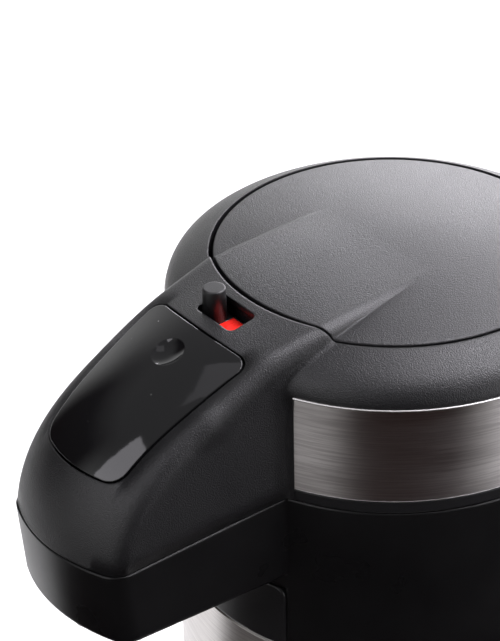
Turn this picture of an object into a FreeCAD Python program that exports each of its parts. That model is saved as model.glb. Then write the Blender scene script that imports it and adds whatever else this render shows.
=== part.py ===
import FreeCAD, Part
import math
import os

V = FreeCAD.Vector
os.makedirs("parts", exist_ok=True)

# Vacuum airpot, three litre class.
# Millimetres. +Z is up, the pot's axis is the Z axis, the feet stand on z = 0,
# and the pouring nose points along -Y.

# Clearances and walls
WALL = 2.6              # moulded plastic wall
STEEL = 0.8             # sheet of the can and the vessel
BAND_T = 0.8            # steel band
SLIP = 0.3              # clearance between parts that move or drop together
RUN = 0.05              # clearance of a pin in its bore
EDGE_GAP = 0.4          # how far the lock tab and the latch hook stop short

# Heights, each one stacked on the one before
FOOT_H = 2.0            # rubber feet under the turntable
BASE_H = 7.5            # turntable
SWIVEL_GAP = 1.0        # turntable to bottom cover
COVER_H = 13.5          # bottom cover
CAN_H = 185.0           # steel can between bottom cover and collar
COLLAR_H = 72.3         # plastic collar, up to the middle of the seam
SEAM_GAP = 0.6          # gap between collar and lid
LID_STRIP_H = 5.3       # strip of the lid under the steel band
BAND_H = 42.3
SHOULDER_H = 16.0       # lid above the band, up to the push plate's well

BASE_TOP = FOOT_H + BASE_H
COVER_BOTTOM = BASE_TOP + SWIVEL_GAP
CAN_BOTTOM = COVER_BOTTOM + COVER_H
COLLAR_BOTTOM = CAN_BOTTOM + CAN_H
SEAM_Z = COLLAR_BOTTOM + COLLAR_H
COLLAR_TOP = SEAM_Z - SEAM_GAP / 2
LID_FOOT = SEAM_Z + SEAM_GAP / 2
BAND_BOTTOM = SEAM_Z + LID_STRIP_H
BAND_TOP = BAND_BOTTOM + BAND_H
RIM_Z = BAND_TOP + SHOULDER_H
SKY = RIM_Z + 60        # above everything, where a cut runs out
DEEP = COLLAR_BOTTOM - 20   # below the lid and the mouth, where a cut runs out

# Body
BODY_R = 87.5           # steel can, collar and band share it
INSIDE_R = BODY_R - WALL
BASE_R = 80.0           # turntable
BASE_PIN_R = 5.0
SCREW_WELL_R = 13.0
SCREW_R = 1.5
SCREW_HEAD_R = 3.0

# Vessel
VACUUM_GAP = 11.7       # between the can's sheet and the vessel
VESSEL_R = BODY_R - STEEL - VACUUM_GAP
VESSEL_FLOOR = CAN_BOTTOM + 10.0
VESSEL_SHOULDER = COLLAR_BOTTOM - 4.0
CUSHION_R = VESSEL_R - 6.0
CUSHION_W = 11.0
BRACKET_R = CUSHION_R - CUSHION_W - 12.0    # circle of the bottom screws
NECK_R = 43.0           # inside of the steel neck
CAN_NECK_R = NECK_R + 3.4   # outside of the outer shell's neck
LIP_Z = SEAM_Z - 23.3
NECK_FOOT = LIP_Z - 14.0

# Mouth
TUBE_ROOM = 12.5        # the mouth is that much smaller than the neck, for the dip tube
MOUTH_R = NECK_R - TUBE_ROOM
NECK_RING_R = CAN_NECK_R + 4.1
GASKET_T = 2.6
DECK_T = 2.3
DECK_TOP = SEAM_Z - 7.0     # deck inside the collar, seen when the lid is open

# Water way
TUBE_R = 4.0
TUBE_BORE = 3.0
TUBE_Y = -(NECK_R - 5.5)
TUBE_BOTTOM = VESSEL_FLOOR + 8.0
DUCT_R = 5.0
DUCT_BORE = 4.0
DUCT_Z = LIP_Z + 8.5
DUCT_BEND = 12.0
TIP_BALL_R = DUCT_BORE - 0.6

# Nose, a hood swept round one axis
NOSE_Y = -BODY_R - 12.5     # the axis of the sweep
NOSE_Z = SEAM_Z - 9.3
NOSE_R = RIM_Z - NOSE_Z - 5.6   # tip profile, a round arc about that axis
NOSE_HALF = 33.6        # half width of the side walls
SHOULDER_R = 6.0
ROOT_FILLET = 3.0
FLOOR_Z = SEAM_Z - 37.7     # underside of the nose at the collar
FLOOR_RISE = 0.075      # its slope towards the tip
FLOOR_START = -BODY_R + 0.5
FLOOR_ROUND = 2.5
NOZZLE_Y = NOSE_Y - 48.0
NOZZLE_R = DUCT_R + 2.4
NOZZLE_FLANGE_R = NOZZLE_R + 2.6
NOZZLE_BOTTOM = FLOOR_Z - 4.6

# Front panel under the nose
PANEL_HALF = 32.6
PANEL_H = 28.2
PANEL_T = 2.1
PANEL_PROUD = 0.5       # how far it stands out of the collar

# Push plate
RIM_W = 17.5            # lid outside the push plate
PLATE_R = BODY_R - RIM_W
PLATE_GAP = 1.7
WELL_R = PLATE_R + PLATE_GAP
PLATE_TOP = RIM_Z + 8.1     # crown of the plate
PLATE_EDGE = RIM_Z + 0.1
PLATE_SKIRT = RIM_Z - 7.4
PLATE_T = 2.6
PLATE_ROUND = 0.8       # rounding of its rim
PLATE_SWING = 12.0      # degrees
PIVOT_Y = PLATE_R - 12.0
PIVOT_Z = RIM_Z - 5.9
PIVOT_R = 2.0
PIVOT_X = 16.0
PUSH_Y = -8.0           # where the plate presses the pump
CROWN_R = (PLATE_R ** 2 + (PLATE_TOP - PLATE_EDGE) ** 2) / (2 * (PLATE_TOP - PLATE_EDGE))

# Lid inside
PLATE_FLOOR = LID_FOOT + 2.4    # top of the lid's inner plate
WELL_FLOOR = PLATE_FLOOR + 14.4
CUP_FLOOR = DECK_TOP + 2.3      # underside of the flange that carries the pump
CUP_R = NECK_RING_R - 4.1
BAND_ANGLE = math.degrees(math.asin((NOSE_HALF + ROOT_FILLET + 0.24) / BODY_R))     # its ends beside the nose
POST_R = 4.0
POST_CIRCLE = (WELL_R + BODY_R - BAND_T) / 2
POST_ANGLES = (25, 155, 215, 325)
POST_TOP = PLATE_FLOOR + 16.0

# Pump
PUMP_BASE = CUP_FLOOR + 1.8
BELLOWS_BOTTOM = PUMP_BASE + 3.0
BELLOWS_TOP = RIM_Z - 28.9
BELLOWS_R = CUP_R - 6.4
BELLOWS_FOLD = 7.0
BELLOWS_T = 1.3
CAP_T = 3.0
PAD_TOP = BELLOWS_TOP + 8.6
SPRING_R = 21.0
SPRING_WIRE = 0.9

# Release lever
LEVER_TILT = 30.0       # the lever's edges are square to this slope
LEVER_REAR = V(0, NOSE_Y + 8.0, RIM_Z - 0.8)
LEVER_LENGTH = 68.8
LEVER_HALF_REAR = 27.7
LEVER_HALF_FRONT = 22.1
LEVER_CORNER = 5.0
LEVER_NOSE_CORNER = 9.0
LEVER_GAP = 0.9
LEVER_T = 2.4
LEVER_PIN_Y = NOSE_Y - 13.0
LEVER_PIN_Z = RIM_Z - 17.4
LEVER_PIN_R = 1.5
LEVER_PIN_HALF = NOSE_HALF - 4.4
LUG_X = NOSE_HALF - 12.1
LUG_W = 4.0
DIMPLE_Y = NOSE_Y - 12.7
DIMPLE_R = 7.3          # rim of the finger dimple
DIMPLE_BALL_R = 13.5    # the ball that hollows it

# Lock slider
LOCK_TRAVEL = 12.0
KNOB_R = 4.1
KNOB_X = -5.9
KNOB_RISE = 13.5
SLOT_W = 12.6
SLOT_X0 = KNOB_X - KNOB_R - 0.7
SLOT_X1 = KNOB_X + LOCK_TRAVEL + KNOB_R + 0.8
SLOT_Y1 = -WELL_R - 3.7
SLOT_Y0 = SLOT_Y1 - SLOT_W
SLOT_CORNER = 2.6
SLIDE_TOP = RIM_Z - 2.1
SLIDE_T = 1.8
SLIDE_X0 = SLOT_X0 - LOCK_TRAVEL + 0.3
SLIDE_X1 = SLOT_X1 + 0.6
SLIDE_Y0 = SLOT_Y0 + 1.4
SLIDE_Y1 = SLOT_Y1 - 1.0
LABEL_T = 0.5
TAB_X0 = KNOB_X - 1.5
TAB_X1 = TAB_X0 + 8.0
TAB_T = 4.0
TAB_TOP = SLIDE_TOP - 5.9
TAB_TIP = -WELL_R - 0.5
FIN_W = 6.0             # fin on the push plate that the lock tab slides towards
FIN_X = TAB_X1 + LOCK_TRAVEL + EDGE_GAP
FIN_REACH = WELL_R + 2.8
FIN_TOP = SLIDE_TOP - 1.8

# Latch
LEDGE_Y = -BODY_R - 11.1
HOOK_BOTTOM = DUCT_Z + DUCT_R + 1.7
HOOK_TOP = HOOK_BOTTOM + 2.8
HOOK_W = 10.0

# Rear hinge of the lid
HINGE_Y = BODY_R + 5.5
HINGE_Z = SEAM_Z - 0.1
HINGE_PIN_R = 2.0
KNUCKLE_R = 4.8
KNUCKLE_HALF = 13.0
EAR_W = 10.0

# Carrying handle
HANDLE_Y = 10.0
HANDLE_Z = SEAM_Z - 19.3
HANDLE_LENGTH = 138.0   # pivot to the middle of the grip bar
HANDLE_CORNER = 50.0
HANDLE_STOW = 40.0      # degrees below level when stowed
HANDLE_IN = BODY_R + 3.0    # inner face of each arm
HANDLE_BOSS_R = 13.0
ARM_T = 6.0
ARM_W = 16.0
ARM_MID = HANDLE_IN + ARM_T / 2
EYE_R = 10.0
GRIP_R = 7.5
GRIP_W = 22.0
GRIP_HALF = 43.0
HANDLE_PIN_R = 4.0
HANDLE_PIN_HEAD = 7.5


# Shapes that several parts use

def cyl(r, z0, z1, x=0.0, y=0.0):
    return Part.makeCylinder(r, z1 - z0, V(x, y, z0))


def tube(r_out, r_in, z0, z1, x=0.0, y=0.0):
    return cyl(r_out, z0, z1, x, y).cut(cyl(r_in, z0 - 1, z1 + 1, x, y))


def rod_x(r, x0, x1, y, z):
    return Part.makeCylinder(r, x1 - x0, V(x0, y, z), V(1, 0, 0))


def rod_y(r, y0, y1, z):
    return Part.makeCylinder(r, y1 - y0, V(0, y0, z), V(0, 1, 0))


def box(x0, x1, y0, y1, z0, z1):
    return Part.makeBox(x1 - x0, y1 - y0, z1 - z0, V(x0, y0, z0))


def wide_box(y0, y1, z0, z1):
    """A box wider than the nose."""
    return box(-2 * NOSE_HALF, 2 * NOSE_HALF, y0, y1, z0, z1)


def mirrored(shape):
    return shape.mirror(V(0, 0, 0), V(1, 0, 0))


def polar(r, degrees):
    a = math.radians(degrees)
    return r * math.cos(a), r * math.sin(a)


def revolved(start, steps, turn=360):
    """Turn a closed profile of (r, z) points round the Z axis.

    A step is a point, or a pair (middle, end) for an arc, or a longer list for a spline
    that leaves the line before it smoothly."""
    edges = []
    last = V(start[0], 0, start[1])
    heading = V(0, 0, 1)
    for step in steps + [start]:
        points = [step] if isinstance(step, tuple) else step
        ends = [V(r, 0, z) for r, z in points]
        if len(ends) == 1:
            edges.append(Part.LineSegment(last, ends[0]).toShape())
            heading = ends[0] - last
        elif len(ends) == 2:
            edges.append(Part.Arc(last, ends[0], ends[1]).toShape())
        else:
            curve = Part.BSplineCurve()
            curve.interpolate(Points=[last] + ends, InitialTangent=heading, FinalTangent=ends[-1] - ends[-2])
            edges.append(curve.toShape())
        last = ends[-1]
    face = Part.Face(Part.Wire(edges))
    return face.revolve(V(0, 0, 0), V(0, 0, 1), turn)


def prism_x(x0, x1, outline):
    """A flat outline of (y, z) points, thick along X."""
    points = [V(x0, y, z) for y, z in outline + outline[:1]]
    return Part.Face(Part.makePolygon(points)).extrude(V(x1 - x0, 0, 0))


def edges_where(shape, test):
    """Edges whose middle point passes the test."""
    found = []
    for edge in shape.Edges:
        if edge.Length > 0.05:
            first, last = edge.ParameterRange
            if test(edge.valueAt((first + last) / 2), edge):
                found.append(edge)
    return found


def edges_on_both(shape, one, other):
    """Edges that lie on the skins of both solids."""

    def on_both(edge):
        first, last = edge.ParameterRange
        spots = [Part.Vertex(edge.valueAt(first + share * (last - first))) for share in (0.3, 0.7)]
        return all(solid.Shells[0].distToShape(spot)[0] < 0.01 for solid in (one, other) for spot in spots)

    return [edge for edge in shape.Edges if edge.Length > 0.3 and on_both(edge)]


def along(edge, direction):
    """True for a straight edge that runs in this direction."""
    straight = edge.Curve.TypeId == "Part::GeomLine"
    return straight and abs(edge.tangentAt(edge.FirstParameter).dot(direction)) > 0.99


def sector(r, half_angle, z0, z1):
    """A wedge about the -Y direction."""
    reach = r / math.cos(math.radians(half_angle))
    x = reach * math.sin(math.radians(half_angle))
    y = -reach * math.cos(math.radians(half_angle))
    wire = Part.makePolygon([V(0, 0, z0), V(-x, y, z0), V(x, y, z0), V(0, 0, z0)])
    return Part.Face(wire).extrude(V(0, 0, z1 - z0))


def helix(radius, wire_r, z0, z1, turns):
    """A round wire wound round the Z axis in half turns."""
    steps = int(turns * 2)
    rise = (z1 - z0 - 2 * wire_r) / steps
    edges = []

    def at(half_turns):
        angle = math.pi * half_turns
        return V(radius * math.cos(angle), radius * math.sin(angle), z0 + wire_r + rise * half_turns)

    for i in range(steps):
        edges.append(Part.Arc(at(i), at(i + 0.5), at(i + 1)).toShape())
    path = Part.Wire(edges)
    start = path.Edges[0]
    section = Part.Wire(Part.makeCircle(wire_r, at(0), start.tangentAt(start.FirstParameter)))
    return path.makePipeShell([section], True, False)


def screw(x, y, z_head, z_end, head_t):
    """A pan head below a plain shank, pointing up, with a cross recess."""
    body = cyl(SCREW_HEAD_R, z_head, z_head + head_t, x, y).fuse(cyl(SCREW_R, z_head, z_end, x, y))
    half = SCREW_HEAD_R * 0.6
    cut_top = z_head + head_t * 0.45
    body = body.cut(box(x - half, x + half, y - 0.4, y + 0.4, z_head - 1, cut_top))
    return body.cut(box(x - 0.4, x + 0.4, y - half, y + half, z_head - 1, cut_top))


# Nose shapes

def arch(half, height, crown, corner, base, place):
    """A closed arch: two upright sides, two rounded shoulders and a crowned top."""
    centre_h = height - crown + math.sqrt((crown - corner) ** 2 - (half - corner) ** 2)
    lean = math.atan2(half - corner, centre_h - (height - crown))
    top_x = crown * math.sin(lean)
    top_h = height - crown + crown * math.cos(lean)
    mid = (lean + math.pi / 2) / 2
    mid_x = half - corner + corner * math.sin(mid)
    mid_h = centre_h + corner * math.cos(mid)
    right = [place(half, base), place(half, centre_h), place(mid_x, mid_h), place(top_x, top_h)]
    left = [place(-half, base), place(-half, centre_h), place(-mid_x, mid_h), place(-top_x, top_h)]
    edges = [
        Part.LineSegment(right[0], right[1]),
        Part.Arc(right[1], right[2], right[3]),
        Part.Arc(right[3], place(0, height), left[3]),
        Part.Arc(left[3], left[2], left[1]),
        Part.LineSegment(left[1], left[0]),
        Part.LineSegment(left[0], right[0]),
    ]
    return Part.Wire([edge.toShape() for edge in edges])


def hood(inset):
    """The nose as one loft: arches fan round its axis, then run back into the dome.

    Each row gives the arch's turn about the axis, its offset back along Y, its height,
    half width, crown radius and shoulder radius."""
    rows = [
        (0, 0, NOSE_R - 0.7, NOSE_HALF, 72, SHOULDER_R + 3.5),
        (18, 0, NOSE_R + 0.2, NOSE_HALF, 62, SHOULDER_R + 1.5),
        (36, 0, NOSE_R + 0.2, NOSE_HALF, 60, SHOULDER_R),
        (54, 0, NOSE_R - 0.3, NOSE_HALF, 62, SHOULDER_R),
        (72, 0, NOSE_R + 0.6, NOSE_HALF, 68, SHOULDER_R),
        (90, 0, NOSE_R + 5.6, NOSE_HALF + 0.2, 88, SHOULDER_R),
        (90, 15, NOSE_R + 8.6, NOSE_HALF + 0.8, 170, SHOULDER_R),
        (90, 30, NOSE_R + 10.9, NOSE_HALF + 2.7, 330, SHOULDER_R + 1),
        (90, 50, NOSE_R + 13.2, NOSE_HALF + 6.2, 330, SHOULDER_R + 2),
    ]
    wires = []
    for turn, back, height, half, crown, corner in rows:
        c = math.cos(math.radians(turn))
        s = math.sin(math.radians(turn))

        def place(x, h, back=back, c=c, s=s):
            return V(x, NOSE_Y + back - h * c, NOSE_Z + h * s)

        wires.append(arch(half - inset, height - inset, crown - inset, corner - inset / 2, 4.0, place))
    return Part.makeLoft(wires, True, False)


def nose_below(inset):
    """The lower half of the nose: the seam outline drawn in a little towards its floor."""
    wires = []
    for z, pull in ((NOSE_Z + 12, 0.0), (FLOOR_Z - 8, 4.0)):

        def place(x, h, z=z):
            return V(x, NOSE_Y - h, z)

        height = NOSE_R - 0.7 - pull - inset
        wires.append(arch(NOSE_HALF - inset, height, 72 - inset, SHOULDER_R + 3.5 - inset / 2, -40.0, place))
    return Part.makeLoft(wires, True, True)


def floor_at(y):
    """Height of the nose's sloping underside."""
    return FLOOR_Z + FLOOR_RISE * (FLOOR_START - y)


def below_floor(lift):
    """Everything under the nose's floor, or under its inner face when lifted."""
    rear = NOSE_Y + 40
    front = NOSE_Y - 80
    outline = [(rear, FLOOR_Z + lift), (FLOOR_START, FLOOR_Z + lift), (front, floor_at(front) + lift),
               (front, DEEP), (rear, DEEP)]
    return prism_x(-2 * NOSE_HALF, 2 * NOSE_HALF, outline)


def save(name, shape):
    shape = shape.removeSplitter() if shape.ShapeType != "Compound" else shape
    solids = shape.Solids
    good = all(solid.isValid() for solid in solids)
    shape = solids[0] if len(solids) == 1 else Part.Compound(solids)
    print("%-18s solids %2d  valid %s  volume %9.0f" % (name, len(solids), good, shape.Volume))
    shape.exportStep("parts/%s.step" % name)


# Steel can and vessel

def make_can():
    top_r = INSIDE_R - SLIP
    top = COLLAR_BOTTOM - SLIP
    t = STEEL
    return revolved(
        (0, CAN_BOTTOM + 3),
        [(VESSEL_R - 5, CAN_BOTTOM + 3), (BODY_R - 3, CAN_BOTTOM),
         [(BODY_R - 0.6, CAN_BOTTOM + 0.9), (BODY_R, CAN_BOTTOM + 3)],
         (BODY_R, top - 1), (BODY_R - 1, top), (top_r, top), (top_r, COLLAR_BOTTOM + 13),
         [(top_r - 9, LIP_Z - 18), (CAN_NECK_R + 4, NECK_FOOT + 3), (CAN_NECK_R, NECK_FOOT + 8)],
         (CAN_NECK_R, LIP_Z), (CAN_NECK_R - t, LIP_Z), (CAN_NECK_R - t, NECK_FOOT + 7),
         [(CAN_NECK_R + 3.2, NECK_FOOT + 2), (top_r - 9.8, LIP_Z - 19), (top_r - t, COLLAR_BOTTOM + 12)],
         (top_r - t, top - t), (BODY_R - t, top - t - 0.4),
         (BODY_R - t, CAN_BOTTOM + 3.4), (BODY_R - 3.2, CAN_BOTTOM + t + 0.4),
         (VESSEL_R - 5, CAN_BOTTOM + 3 + t), (0, CAN_BOTTOM + 3 + t)])


def make_vessel():
    t = STEEL
    r = VESSEL_R
    rise = VESSEL_SHOULDER + 17
    neck = LIP_Z - 10
    lip_r = CAN_NECK_R - STEEL - RUN
    return revolved(
        (0, VESSEL_FLOOR),
        [(r - 14, VESSEL_FLOOR), [(r - 4, VESSEL_FLOOR + 4), (r, VESSEL_FLOOR + 14)], (r, VESSEL_SHOULDER),
         [(r - 6, rise), (NECK_R + 7, neck - 12), (NECK_R, neck)], (NECK_R, LIP_Z - t),
         (lip_r, LIP_Z - t), (lip_r, LIP_Z), (NECK_R - t, LIP_Z),
         (NECK_R - t, neck), [(NECK_R + 5.6, neck - 12.6), (r - 6.8, rise - 0.6), (r - t, VESSEL_SHOULDER)],
         (r - t, VESSEL_FLOOR + 14), [(r - 4.6, VESSEL_FLOOR + 4.6), (r - 14, VESSEL_FLOOR + t)],
         (0, VESSEL_FLOOR + t)])


# Lid shell

def dome_profile(inset, foot):
    """The round part of the lid. Its shoulder bulges a little past the band."""
    r = BODY_R - inset
    top = RIM_Z - inset
    return revolved((0, foot), [
        (r, foot), (r, BAND_TOP - 11),
        [(r + 1.2, BAND_TOP + 2 - inset / 2), (r - 0.6, top - 10), (BODY_R - 6.2 - inset / 2, top - 4.9),
         (WELL_R, top), (WELL_R - 13.7, top + 2.6)],
        (0, top + 2.6)])


def make_dome():
    """The lid's outside before it is hollowed: dome and nose fused and blended."""
    round_part = dome_profile(0, LID_FOOT)
    nose = hood(0).cut(wide_box(NOSE_Y - 100, 0, 0, LID_FOOT))
    body = round_part.fuse(nose)
    root = [edge for edge in edges_on_both(body, round_part, nose)
            if edge.CenterOfMass.y < NOSE_Y + 49 and edge.CenterOfMass.z > LID_FOOT + 1]
    return body.makeFillet(ROOT_FILLET, root)


def beyond_nose(ring):
    """Keep the part of a ring that lies outside the nose's sector."""
    return ring.cut(sector(BODY_R + 12, BAND_ANGLE, DEEP, SKY))


def lever_prism(grow, deep=30.0, proud=30.0):
    """The release lever's outline, drawn square to the slope of the nose."""
    c = math.cos(math.radians(LEVER_TILT))
    s = math.sin(math.radians(LEVER_TILT))
    lift = V(0, -s, c)

    def at(x, t):
        return LEVER_REAR + V(x, -t * c, -t * s)

    rear = 0.2 - grow
    front = LEVER_LENGTH + grow
    side_end = LEVER_LENGTH - 4
    half_rear = LEVER_HALF_REAR + grow
    half_front = LEVER_HALF_FRONT + grow
    edges = [
        Part.Arc(at(-half_rear, rear), at(0, rear + 1.3), at(half_rear, rear)),
        Part.LineSegment(at(half_rear, rear), at(half_front, side_end)),
        Part.Arc(at(half_front, side_end), at(0, front), at(-half_front, side_end)),
        Part.LineSegment(at(-half_front, side_end), at(-half_rear, rear)),
    ]
    face = Part.Face(Part.Wire([edge.toShape() for edge in edges]))
    prism = face.extrude(lift * (deep + proud))
    prism.translate(lift * -deep)

    def corners(half, t):
        spots = (at(half, t), at(-half, t))
        return edges_where(prism, lambda p, e: along(e, lift)
                           and min(p.distanceToLine(spot, lift) for spot in spots) < 0.01)

    prism = prism.makeFillet(LEVER_CORNER + grow / 2, corners(half_rear, rear))
    return prism.makeFillet(LEVER_NOSE_CORNER + grow / 2, corners(half_front, side_end))


def make_lid_shell():
    shell = make_dome()
    nose_room = hood(WALL).cut(wide_box(NOSE_Y - 100, 0, 0, LID_FOOT - 20))
    room = dome_profile(WALL + BAND_T, LID_FOOT - 20).fuse(nose_room)
    well_wall = cyl(WELL_R + WALL, WELL_FLOOR - WALL, SKY)
    shell = shell.cut(room.cut(well_wall))
    shell = shell.cut(cyl(WELL_R, WELL_FLOOR, SKY)).cut(cyl(CUP_R + 0.6, DEEP, SKY))
    band_seat = tube(BODY_R + 5, BODY_R - BAND_T - 0.1, BAND_BOTTOM - SLIP, BAND_TOP + SLIP)
    rim_seat = tube(BODY_R + 5, BODY_R - 20, LID_FOOT - 1, BAND_BOTTOM - SLIP + 0.01)
    shell = shell.cut(beyond_nose(band_seat)).cut(beyond_nose(rim_seat))
    shell = shell.cut(lever_prism(LEVER_GAP)).cut(make_slot())
    ear = box(PIVOT_X + 3.4, PIVOT_X + 6.9, PIVOT_Y - 4, PIVOT_Y + 4, WELL_FLOOR - 1, PIVOT_Z)
    ear = ear.fuse(rod_x(4.0, PIVOT_X + 3.4, PIVOT_X + 6.9, PIVOT_Y, PIVOT_Z))
    ear = ear.cut(rod_x(PIVOT_R, PIVOT_X, PIVOT_X + 5.9, PIVOT_Y, PIVOT_Z))
    boss = rod_x(4.2, LEVER_PIN_HALF - 2, NOSE_HALF - WALL + 0.6, LEVER_PIN_Y, LEVER_PIN_Z)
    boss = boss.common(hood(WALL / 2))
    for piece in (ear, boss):
        shell = shell.fuse(piece).fuse(mirrored(piece))
    shell = shell.fuse(make_lock_guide())
    for gap in lock_gaps():
        shell = shell.cut(gap)
    for boss in make_screw_bosses():
        shell = shell.fuse(boss)
    return shell.cut(make_lever_pin())


def make_slot():
    """The opening in the lid that the lock knob slides in."""
    block = box(SLOT_X0, SLOT_X1, SLOT_Y0, SLOT_Y1, SLIDE_TOP - 12, RIM_Z + 15)
    return block.makeFillet(SLOT_CORNER, edges_where(block, lambda p, e: along(e, V(0, 0, 1))))


def make_lock_guide():
    """A shelf under the nose's roof that the lock slider runs on."""
    shelf_top = SLIDE_TOP - SLIDE_T - SLIP
    shelf_half = NOSE_HALF - 6.6
    shelf = box(-shelf_half, shelf_half, SLIDE_Y0 - 2.4, TAB_TIP, shelf_top - 1.6, shelf_top)
    hanger = box(shelf_half, shelf_half + 2.4, SLIDE_Y0 - 2.4, TAB_TIP, shelf_top - 1.6, SLIDE_TOP + 6)
    guide = shelf.fuse(hanger).fuse(mirrored(hanger))
    return guide.common(hood(WALL / 2)).cut(cyl(WELL_R, WELL_FLOOR, SKY))


def lock_gaps():
    """Room for the slider, its tab, and the push plate's fin on its way down."""
    x0 = TAB_X0 - 1
    x1 = TAB_X1 + LOCK_TRAVEL + 1
    fin_sinks = (PIVOT_Y + FIN_REACH) * math.sin(math.radians(PLATE_SWING)) + 3
    return [
        box(SLIDE_X0 - 0.8, SLIDE_X1 + LOCK_TRAVEL + 0.8, SLIDE_Y0 - 0.5, SLIDE_Y1 + 0.5,
            SLIDE_TOP - SLIDE_T - SLIP, SLIDE_TOP + SLIP),
        box(x0, x1, SLIDE_Y1 - 7.6, -WELL_R + 1.7, TAB_TOP - TAB_T - 2.4, SLIDE_TOP - SLIDE_T),
        box(FIN_X - 0.8, FIN_X + FIN_W + 0.8, -FIN_REACH - 1.2, -WELL_R + 4,
            PLATE_SKIRT - fin_sinks, FIN_TOP + 1.5),
    ]


def post_places():
    """Four lid screws between the push plate's well and the outer wall."""
    return [polar(POST_CIRCLE, angle) for angle in POST_ANGLES]


def make_screw_bosses():
    bosses = []
    for x, y in post_places():
        boss = cyl(POST_R, POST_TOP, RIM_Z - 3.9, x, y).common(dome_profile(WALL / 2, LID_FOOT + 5))
        bosses.append(boss.cut(cyl(SCREW_R + 0.02, POST_TOP - 1, POST_TOP + 10, x, y)))
    return bosses


def make_band():
    ring = beyond_nose(tube(BODY_R, BODY_R - BAND_T, BAND_BOTTOM, BAND_TOP))
    corners = edges_where(ring, lambda p, e: e.Length < 2 * BAND_T and p.z > BAND_TOP - 0.1)
    return ring.makeFillet(1.6, corners)


# Release lever and latch

def make_release_lever():
    panel = hood(0).common(lever_prism(0)).cut(hood(LEVER_T))
    panel = panel.common(wide_box(NOSE_Y - 100, NOSE_Y + 20, LID_FOOT + 8, SKY))
    lug = box(LUG_X, LUG_X + LUG_W, LEVER_PIN_Y - 3.5, LEVER_PIN_Y + 3.5, LEVER_PIN_Z, LEVER_PIN_Z + 12)
    lug = lug.fuse(rod_x(3.5, LUG_X, LUG_X + LUG_W, LEVER_PIN_Y, LEVER_PIN_Z))
    lug = lug.common(hood(LEVER_T / 2))
    lug = lug.cut(rod_x(LEVER_PIN_R + RUN, LUG_X - 1, LUG_X + LUG_W + 1, LEVER_PIN_Y, LEVER_PIN_Z))
    panel = panel.fuse(lug).fuse(mirrored(lug))
    return panel.fuse(make_dimple_floor()).cut(dimple_ball(DIMPLE_BALL_R))


def dimple_ball(r):
    lift = math.sqrt(DIMPLE_BALL_R ** 2 - DIMPLE_R ** 2)
    return Part.makeSphere(r, V(0, DIMPLE_Y, RIM_Z - 3.45 + lift))


def make_dimple_floor():
    """The lever is thicker under the finger dimple."""
    return dimple_ball(DIMPLE_BALL_R + LEVER_T).common(hood(0.6)).common(lever_prism(-2.0))


def make_lever_hook():
    half = HOOK_W / 2
    arm = box(-half, half, LEDGE_Y - 4.9, LEDGE_Y - 1.9, HOOK_BOTTOM, RIM_Z)
    barb = box(-half, half, LEDGE_Y - 3, LEDGE_Y - EDGE_GAP, HOOK_BOTTOM, HOOK_TOP)
    foot = RIM_Z - 26.9
    rib = prism_x(-1.5, 1.5, [(LEDGE_Y - 4, foot), (LEDGE_Y - 14, RIM_Z - 2.9), (LEDGE_Y + 4, RIM_Z + 0.1),
                              (LEDGE_Y - 2, foot)])
    return arm.fuse(barb).fuse(rib).common(hood(LEVER_T)).cut(make_release_lever())


def make_latch_catch():
    back = -BODY_R + 1
    bracket = box(-7, 7, -BODY_R - 1.8, back, HOOK_TOP - 1.0, HOOK_TOP + 3.4)
    ledge = box(-6, 6, LEDGE_Y, back, HOOK_TOP + 0.4, HOOK_TOP + 3.4)
    return bracket.fuse(ledge).cut(cyl(BODY_R + 0.02, DEEP, SKY))


def make_lever_pin():
    return rod_x(LEVER_PIN_R, -LEVER_PIN_HALF, LEVER_PIN_HALF, LEVER_PIN_Y, LEVER_PIN_Z)


def make_lever_spring():
    coil = helix(LEVER_PIN_R + 1.0, 0.4, 0, 8, 6)
    coil.rotate(V(0, 0, 0), V(0, 1, 0), 90)
    coil.translate(V(8, LEVER_PIN_Y, LEVER_PIN_Z))
    return coil


# Lid underside and its screws

def make_lid_underside():
    inner = cyl(INSIDE_R - BAND_T - 0.2, LID_FOOT, PLATE_FLOOR)
    tongue = hood(WALL + SLIP).common(wide_box(NOSE_Y - 100, -BODY_R + 32, LID_FOOT, PLATE_FLOOR))
    rim = beyond_nose(tube(BODY_R, BODY_R - 6, LID_FOOT, BAND_BOTTOM - SLIP))
    part = inner.fuse(tongue).fuse(rim)
    part = part.fuse(tube(CUP_R, CUP_R - 2.4, CUP_FLOOR, PLATE_FLOOR + 3))
    part = part.cut(cyl(CUP_R - 2.4, PUMP_BASE, PLATE_FLOOR + 4))
    part = part.cut(cyl(MOUTH_R + 6, CUP_FLOOR - 5, PUMP_BASE + 1))
    part = part.fuse(tube(CUP_R - 1, MOUTH_R + 6, CUP_FLOOR, PUMP_BASE))
    knuckle = box(-KNUCKLE_HALF, KNUCKLE_HALF, BODY_R - 4, HINGE_Y, LID_FOOT, BAND_BOTTOM - SLIP)
    knuckle = knuckle.fuse(rod_x(KNUCKLE_R, -KNUCKLE_HALF, KNUCKLE_HALF, HINGE_Y, HINGE_Z))
    bore = rod_x(HINGE_PIN_R + RUN, -KNUCKLE_HALF - 7, KNUCKLE_HALF + 7, HINGE_Y, HINGE_Z)
    part = part.fuse(knuckle).cut(bore)
    hook_half = HOOK_W / 2 + 3
    part = part.cut(box(-hook_half, hook_half, LEDGE_Y - 19.4, LEDGE_Y + 2.6, CUP_FLOOR, PLATE_FLOOR + 6))
    for x, y in post_places():
        part = part.fuse(cyl(POST_R, LID_FOOT, POST_TOP, x, y))
        part = part.cut(cyl(SCREW_R + RUN, CUP_FLOOR, POST_TOP + 10, x, y))
        part = part.cut(cyl(SCREW_HEAD_R + 0.2, CUP_FLOOR, LID_FOOT + 2.2, x, y))
    return part


def make_lid_screws():
    return Part.Compound([screw(x, y, LID_FOOT + 0.4, POST_TOP + 9, 1.8) for x, y in post_places()])


# Pump

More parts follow.
